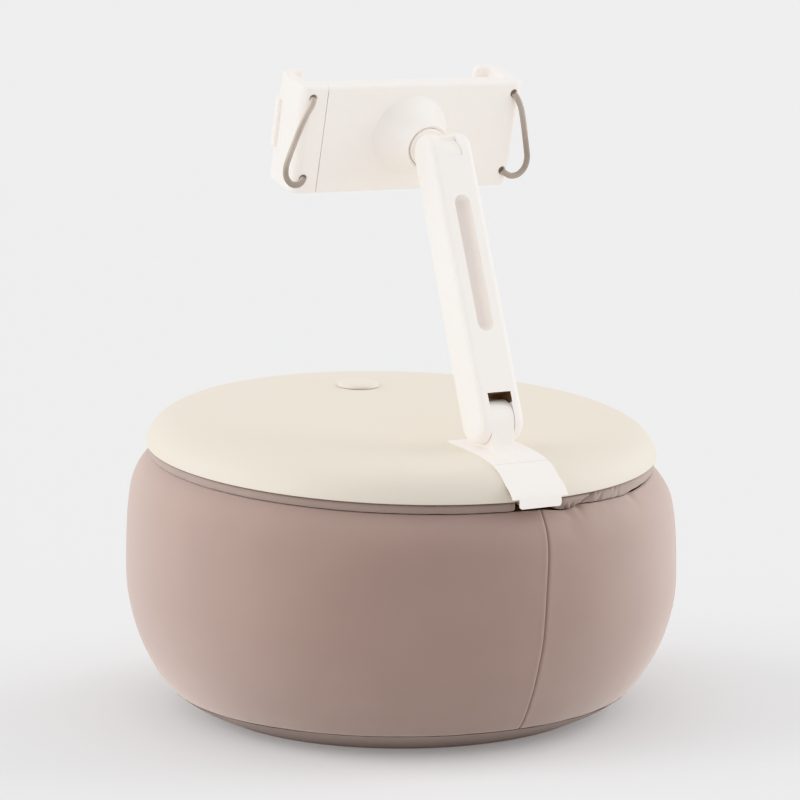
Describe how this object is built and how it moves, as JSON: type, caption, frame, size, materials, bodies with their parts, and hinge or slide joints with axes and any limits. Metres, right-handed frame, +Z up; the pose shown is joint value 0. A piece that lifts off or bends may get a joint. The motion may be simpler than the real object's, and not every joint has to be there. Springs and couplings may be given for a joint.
{
  "type": "tablet cushion stand",
  "caption": "Round bead cushion with a tray top and a hinged arm at its rim, carrying a tilting, swivelling clamp that holds a tablet or phone.",
  "frame": {"origin": "middle of the cushion's flat underside, on the surface that it stands on", "axes": "+Z up, -Y towards the reader, +X to the reader's right, arm bracket on the +Y side"},
  "size_m": [0.3, 0.3, 0.3445],
  "materials": {
    "cover_fabric": "matte",
    "bag_fabric": "matte",
    "cream_plastic": "matte",
    "board": "matte",
    "white_plastic": "satin",
    "pad_rubber": "matte",
    "cord_fabric": "matte",
    "steel": "satin"
  },
  "bodies": {
    "base": {"cover_side_panel": "cover_fabric", "cover_bottom_panel": "cover_fabric", "bead_bag": "bag_fabric", "cover_top_band": "cover_fabric", "tray_top": "cream_plastic", "tray_core": "board", "tray_under_plate": "board", "tray_button": "cream_plastic", "tray_screw_1": "steel", "tray_screw_2": "steel", "tray_screw_3": "steel", "tray_screw_4": "steel", "hinge_block": "white_plastic", "rim_hook": "white_plastic", "bracket_screw_1": "steel", "bracket_screw_2": "steel", "hook_screw": "steel"},
    "arm": {"arm_body": "white_plastic", "lower_hinge_bolt": "steel", "lower_hinge_nut": "steel", "lower_hinge_cap": "white_plastic", "lower_hinge_washer_left": "steel", "lower_hinge_washer_right": "steel", "upper_hinge_bolt": "steel", "upper_hinge_nut": "steel", "upper_hinge_cap": "white_plastic", "upper_hinge_washer_left": "steel", "upper_hinge_washer_right": "steel"},
    "head": {"tilt_head": "white_plastic", "swivel_washer": "steel", "swivel_screw": "steel"},
    "holder": {"holder_back_shell": "white_plastic", "holder_front_plate": "white_plastic", "plate_screw_1": "steel", "plate_screw_2": "steel", "plate_screw_3": "steel", "plate_screw_4": "steel", "front_pad": "pad_rubber", "fixed_jaw_pad": "pad_rubber", "spring_roll": "steel", "right_elastic_loop": "cord_fabric", "right_cord_end_upper": "cord_fabric", "right_cord_end_lower": "cord_fabric"},
    "jaw": {"sliding_jaw": "white_plastic", "sliding_jaw_pad": "pad_rubber", "left_elastic_loop": "cord_fabric", "left_cord_end_upper": "cord_fabric", "left_cord_end_lower": "cord_fabric"}
  },
  "joints": [
    {"name": "arm_tilt", "type": "hinge", "parent": "base", "child": "arm", "pos_m": [0, 0.09499, 0.16758], "axis": [1, 0, 0], "range_deg": [-45, 5]},
    {"name": "holder_tilt", "type": "hinge", "parent": "arm", "child": "head", "pos_m": [0, 0.04507, 0.2988], "axis": [1, 0, 0], "range_deg": [-60, 15]},
    {"name": "holder_swivel", "type": "hinge", "parent": "head", "child": "holder", "pos_m": [0, 0.04507, 0.2988], "axis": [0, 0.9609, -0.2768], "continuous": true},
    {"name": "jaw_slide", "type": "slide", "parent": "holder", "child": "jaw", "axis": [1, 0, 0], "range_m": [0, 0.05], "stiffness_N_per_m": 40, "springref_m": -0.05}
  ]
}
